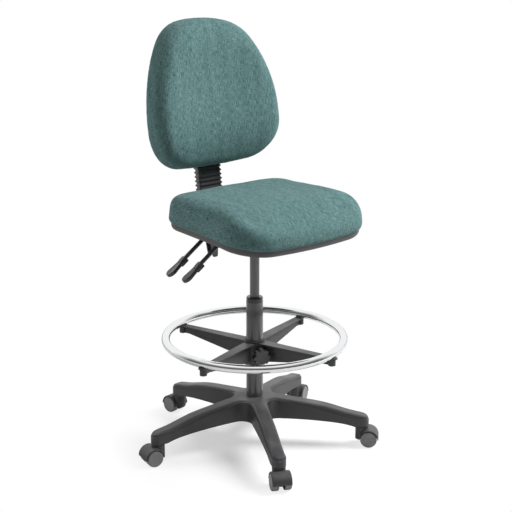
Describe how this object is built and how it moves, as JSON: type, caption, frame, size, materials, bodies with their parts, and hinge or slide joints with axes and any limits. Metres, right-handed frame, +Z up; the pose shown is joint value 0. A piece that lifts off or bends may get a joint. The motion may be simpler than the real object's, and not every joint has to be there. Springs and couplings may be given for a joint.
{
  "type": "drafting chair",
  "caption": "Tall upholstered drafting chair with a swivelling gas lift, caster base, sliding foot ring and lever-set back.",
  "frame": {"origin": "on the floor under the centre of the column", "axes": "+Z up, the sitter faces -Y, +X to the sitter's left"},
  "size_m": [0.7215, 0.7175, 1.2453],
  "materials": {
    "charcoal_nylon": "satin moulded nylon",
    "wheel_nylon": "smooth nylon",
    "tube_black": "semi-gloss black powder coat",
    "lift_grey": "satin grey",
    "ring_chrome": "polished chrome plate",
    "bright_steel": "zinc plated",
    "bearing_steel": "ground steel",
    "gloss_black": "glossy moulded plastic",
    "guide_plastic": "acetal",
    "soft_rubber": "moulded rubber",
    "bellows_rubber": "glossy black rubber",
    "pan_grey": "matte textured plastic",
    "shell_black": "matte textured plastic",
    "mechanism_black": "black powder coat",
    "birch_ply": "bare plywood",
    "seat_fabric": "woven grey-green melange",
    "back_fabric": "woven grey-green melange"
  },
  "bodies": {
    "base": {"base_star": "charcoal_nylon", "column_tube": "tube_black", "tube_bush": "gloss_black", "thrust_bearing": "bearing_steel", "caster_stems": "bright_steel"},
    "rod": {"piston_rod": "bearing_steel", "lift_buffer": "soft_rubber", "rod_clip": "bright_steel", "piston": "guide_plastic"},
    "seat": {"gas_cylinder": "lift_grey", "cylinder_gland": "bearing_steel", "seat_board": "birch_ply", "seat_pan": "pan_grey", "seat_cushion": "seat_fabric", "seat_nuts": "bright_steel", "seat_bolts": "bright_steel", "mount_plate": "mechanism_black", "mechanism_housing": "mechanism_black", "pivot_pin": "bright_steel", "lever_bracket": "mechanism_black", "lever_pin": "bright_steel"},
    "valve": {"valve_pin": "bright_steel"},
    "height_lever": {"height_lever": "mechanism_black", "height_paddle": "shell_black"},
    "back_lever": {"back_lever": "mechanism_black", "back_paddle": "shell_black"},
    "back_bar": {"back_bar": "mechanism_black", "bar_bellows": "bellows_rubber"},
    "back": {"back_bracket": "mechanism_black", "back_pawl": "guide_plastic", "back_board": "birch_ply", "back_shell": "shell_black", "back_cushion": "back_fabric", "back_screws": "bright_steel"},
    "ring_bush": {"ring_bush": "guide_plastic"},
    "foot_ring": {"foot_ring": "ring_chrome", "ring_spider": "charcoal_nylon", "ring_screws": "bright_steel"},
    "ring_knob": {"ring_knob": "shell_black", "knob_stud": "bright_steel"},
    "caster_1": {"caster_1_hood": "charcoal_nylon", "caster_1_axle": "bright_steel"},
    "caster_1_left": {"caster_1_wheel_left": "wheel_nylon"},
    "caster_1_right": {"caster_1_wheel_right": "wheel_nylon"},
    "caster_2": {"caster_2_hood": "charcoal_nylon", "caster_2_axle": "bright_steel"},
    "caster_2_left": {"caster_2_wheel_left": "wheel_nylon"},
    "caster_2_right": {"caster_2_wheel_right": "wheel_nylon"},
    "caster_3": {"caster_3_hood": "charcoal_nylon", "caster_3_axle": "bright_steel"},
    "caster_3_left": {"caster_3_wheel_left": "wheel_nylon"},
    "caster_3_right": {"caster_3_wheel_right": "wheel_nylon"},
    "caster_4": {"caster_4_hood": "charcoal_nylon", "caster_4_axle": "bright_steel"},
    "caster_4_left": {"caster_4_wheel_left": "wheel_nylon"},
    "caster_4_right": {"caster_4_wheel_right": "wheel_nylon"},
    "caster_5": {"caster_5_hood": "charcoal_nylon", "caster_5_axle": "bright_steel"},
    "caster_5_left": {"caster_5_wheel_left": "wheel_nylon"},
    "caster_5_right": {"caster_5_wheel_right": "wheel_nylon"}
  },
  "joints": [
    {"name": "seat_swivel", "type": "hinge", "parent": "base", "child": "rod", "pos_m": [0, 0, 0.1], "axis": [0, 0, 1], "continuous": true},
    {"name": "seat_height", "type": "slide", "parent": "rod", "child": "seat", "axis": [0, 0, 1], "range_m": [-0.125, 0.1]},
    {"name": "height_lever_lift", "type": "hinge", "parent": "seat", "child": "height_lever", "pos_m": [-0.12858, 0, 0.64732], "axis": [0, 1, 0], "range_deg": [0, 2.2], "stiffness_Nm_per_rad": 6, "springref_deg": -5.73},
    {"name": "valve_press", "type": "slide", "parent": "seat", "child": "valve", "axis": [0, 0, 1], "range_m": [-0.005, 0]},
    {"name": "back_lever_lift", "type": "hinge", "parent": "seat", "child": "back_lever", "pos_m": [-0.12858, 0, 0.64732], "axis": [0, 1, 0], "range_deg": [0, 3.5], "stiffness_Nm_per_rad": 6, "springref_deg": -5.73},
    {"name": "back_tilt", "type": "hinge", "parent": "seat", "child": "back_bar", "pos_m": [0, 0.092, 0.641], "axis": [-1, 0, 0], "range_deg": [-3, 14]},
    {"name": "back_height", "type": "slide", "parent": "back_bar", "child": "back", "axis": [0, 0.1392, 0.9903], "range_m": [-0.025, 0.035], "deforming": ["bar_bellows"]},
    {"name": "ring_height", "type": "slide", "parent": "base", "child": "ring_bush", "axis": [0, 0, 1], "range_m": [-0.085, 0.1]},
    {"name": "ring_turn", "type": "hinge", "parent": "ring_bush", "child": "foot_ring", "pos_m": [0, 0, 0.3], "axis": [0, 0, 1], "continuous": true},
    {"name": "ring_knob_turn", "type": "hinge", "parent": "foot_ring", "child": "ring_knob", "pos_m": [-0.01436, -0.03947, 0.286], "axis": [-0.342, -0.9397, 0], "continuous": true},
    {"name": "caster_1_swivel", "type": "hinge", "parent": "base", "child": "caster_1", "pos_m": [0.29121, 0.14203, 0.055], "axis": [0, 0, 1], "continuous": true},
    {"name": "caster_1_left_roll", "type": "hinge", "parent": "caster_1", "child": "caster_1_left", "pos_m": [0.31008, 0.15124, 0.025], "axis": [-0.4384, 0.8988, 0], "continuous": true},
    {"name": "caster_1_right_roll", "type": "hinge", "parent": "caster_1", "child": "caster_1_right", "pos_m": [0.31008, 0.15124, 0.025], "axis": [-0.4384, 0.8988, 0], "continuous": true},
    {"name": "caster_2_swivel", "type": "hinge", "parent": "base", "child": "caster_2", "pos_m": [-0.04509, 0.32085, 0.055], "axis": [0, 0, 1], "continuous": true},
    {"name": "caster_2_left_roll", "type": "hinge", "parent": "caster_2", "child": "caster_2_left", "pos_m": [-0.04802, 0.34164, 0.025], "axis": [-0.9903, -0.1392, 0], "continuous": true},
    {"name": "caster_2_right_roll", "type": "hinge", "parent": "caster_2", "child": "caster_2_right", "pos_m": [-0.04802, 0.34164, 0.025], "axis": [-0.9903, -0.1392, 0], "continuous": true},
    {"name": "caster_3_swivel", "type": "hinge", "parent": "base", "child": "caster_3", "pos_m": [-0.31908, 0.05626, 0.055], "axis": [0, 0, 1], "continuous": true},
    {"name": "caster_3_left_roll", "type": "hinge", "parent": "caster_3", "child": "caster_3_left", "pos_m": [-0.33976, 0.05991, 0.025], "axis": [-0.1736, -0.9848, 0], "continuous": true},
    {"name": "caster_3_right_roll", "type": "hinge", "parent": "caster_3", "child": "caster_3_right", "pos_m": [-0.33976, 0.05991, 0.025], "axis": [-0.1736, -0.9848, 0], "continuous": true},
    {"name": "caster_4_swivel", "type": "hinge", "parent": "base", "child": "caster_4", "pos_m": [-0.15211, -0.28608, 0.055], "axis": [0, 0, 1], "continuous": true},
    {"name": "caster_4_left_roll", "type": "hinge", "parent": "caster_4", "child": "caster_4_left", "pos_m": [-0.16197, -0.30462, 0.025], "axis": [0.8829, -0.4695, 0], "continuous": true},
    {"name": "caster_4_right_roll", "type": "hinge", "parent": "caster_4", "child": "caster_4_right", "pos_m": [-0.16197, -0.30462, 0.025], "axis": [0.8829, -0.4695, 0], "continuous": true},
    {"name": "caster_5_swivel", "type": "hinge", "parent": "base", "child": "caster_5", "pos_m": [0.22507, -0.23307, 0.055], "axis": [0, 0, 1], "continuous": true},
    {"name": "caster_5_left_roll", "type": "hinge", "parent": "caster_5", "child": "caster_5_left", "pos_m": [0.23966, -0.24817, 0.025], "axis": [0.7193, 0.6947, 0], "continuous": true},
    {"name": "caster_5_right_roll", "type": "hinge", "parent": "caster_5", "child": "caster_5_right", "pos_m": [0.23966, -0.24817, 0.025], "axis": [0.7193, 0.6947, 0], "continuous": true}
  ],
  "couplings": [
    {"joint": "valve_press", "follows": "height_lever_lift", "m_per_rad": -0.12858}
  ]
}
